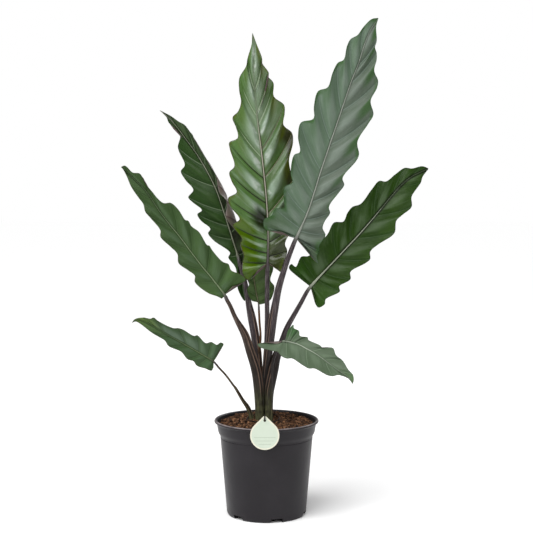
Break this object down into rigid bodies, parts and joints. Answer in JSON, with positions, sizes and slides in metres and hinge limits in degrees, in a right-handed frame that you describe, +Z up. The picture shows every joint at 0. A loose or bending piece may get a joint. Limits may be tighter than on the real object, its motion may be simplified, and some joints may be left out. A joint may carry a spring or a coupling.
{
  "type": "potted alocasia lauterbachiana",
  "caption": "Potted Alocasia lauterbachiana: long wavy-edged leaves on dark upright stalks, in a plastic nursery pot of soil with a plain round tag.",
  "frame": {"origin": "centre of the pot's flat underside", "axes": "+Z up along the pot's axis, -Y towards the viewer of the picture, +X to the viewer's right"},
  "size_m": [0.5495, 0.293, 0.8952],
  "materials": {
    "leaf_young": "glossy bright green upper face, dusky purple underside",
    "leaf_grey": "satin grey-green upper face with a pale midrib",
    "leaf_dark": "satin dark green upper face, dusky purple underside",
    "stalk": "satin dark purple-brown with pale streaks",
    "stalk_young": "satin orange-brown",
    "pot_plastic": "semi-matte dark grey moulded plastic",
    "soil": "rough brown potting mix of peat and coir",
    "tag_card": "satin pale green card with a cream border",
    "tie_plastic": "black moulded plastic cord"
  },
  "bodies": {
    "root": {"stalk_centre": "stalk", "blade_centre": "leaf_young", "stalk_upper_right": "stalk", "blade_upper_right": "leaf_grey", "stalk_right": "stalk", "blade_right": "leaf_dark", "stalk_upper_left": "stalk", "blade_upper_left": "leaf_dark", "stalk_left": "stalk", "blade_left": "leaf_dark", "stalk_low_left": "stalk", "blade_low_left": "leaf_dark", "stalk_low_right": "stalk", "blade_low_right": "leaf_grey", "stalk_inner": "stalk_young", "blade_inner": "leaf_dark", "pot": "pot_plastic", "soil": "soil", "tag": "tag_card", "tag_tie": "tie_plastic"}
  },
  "joints": []
}
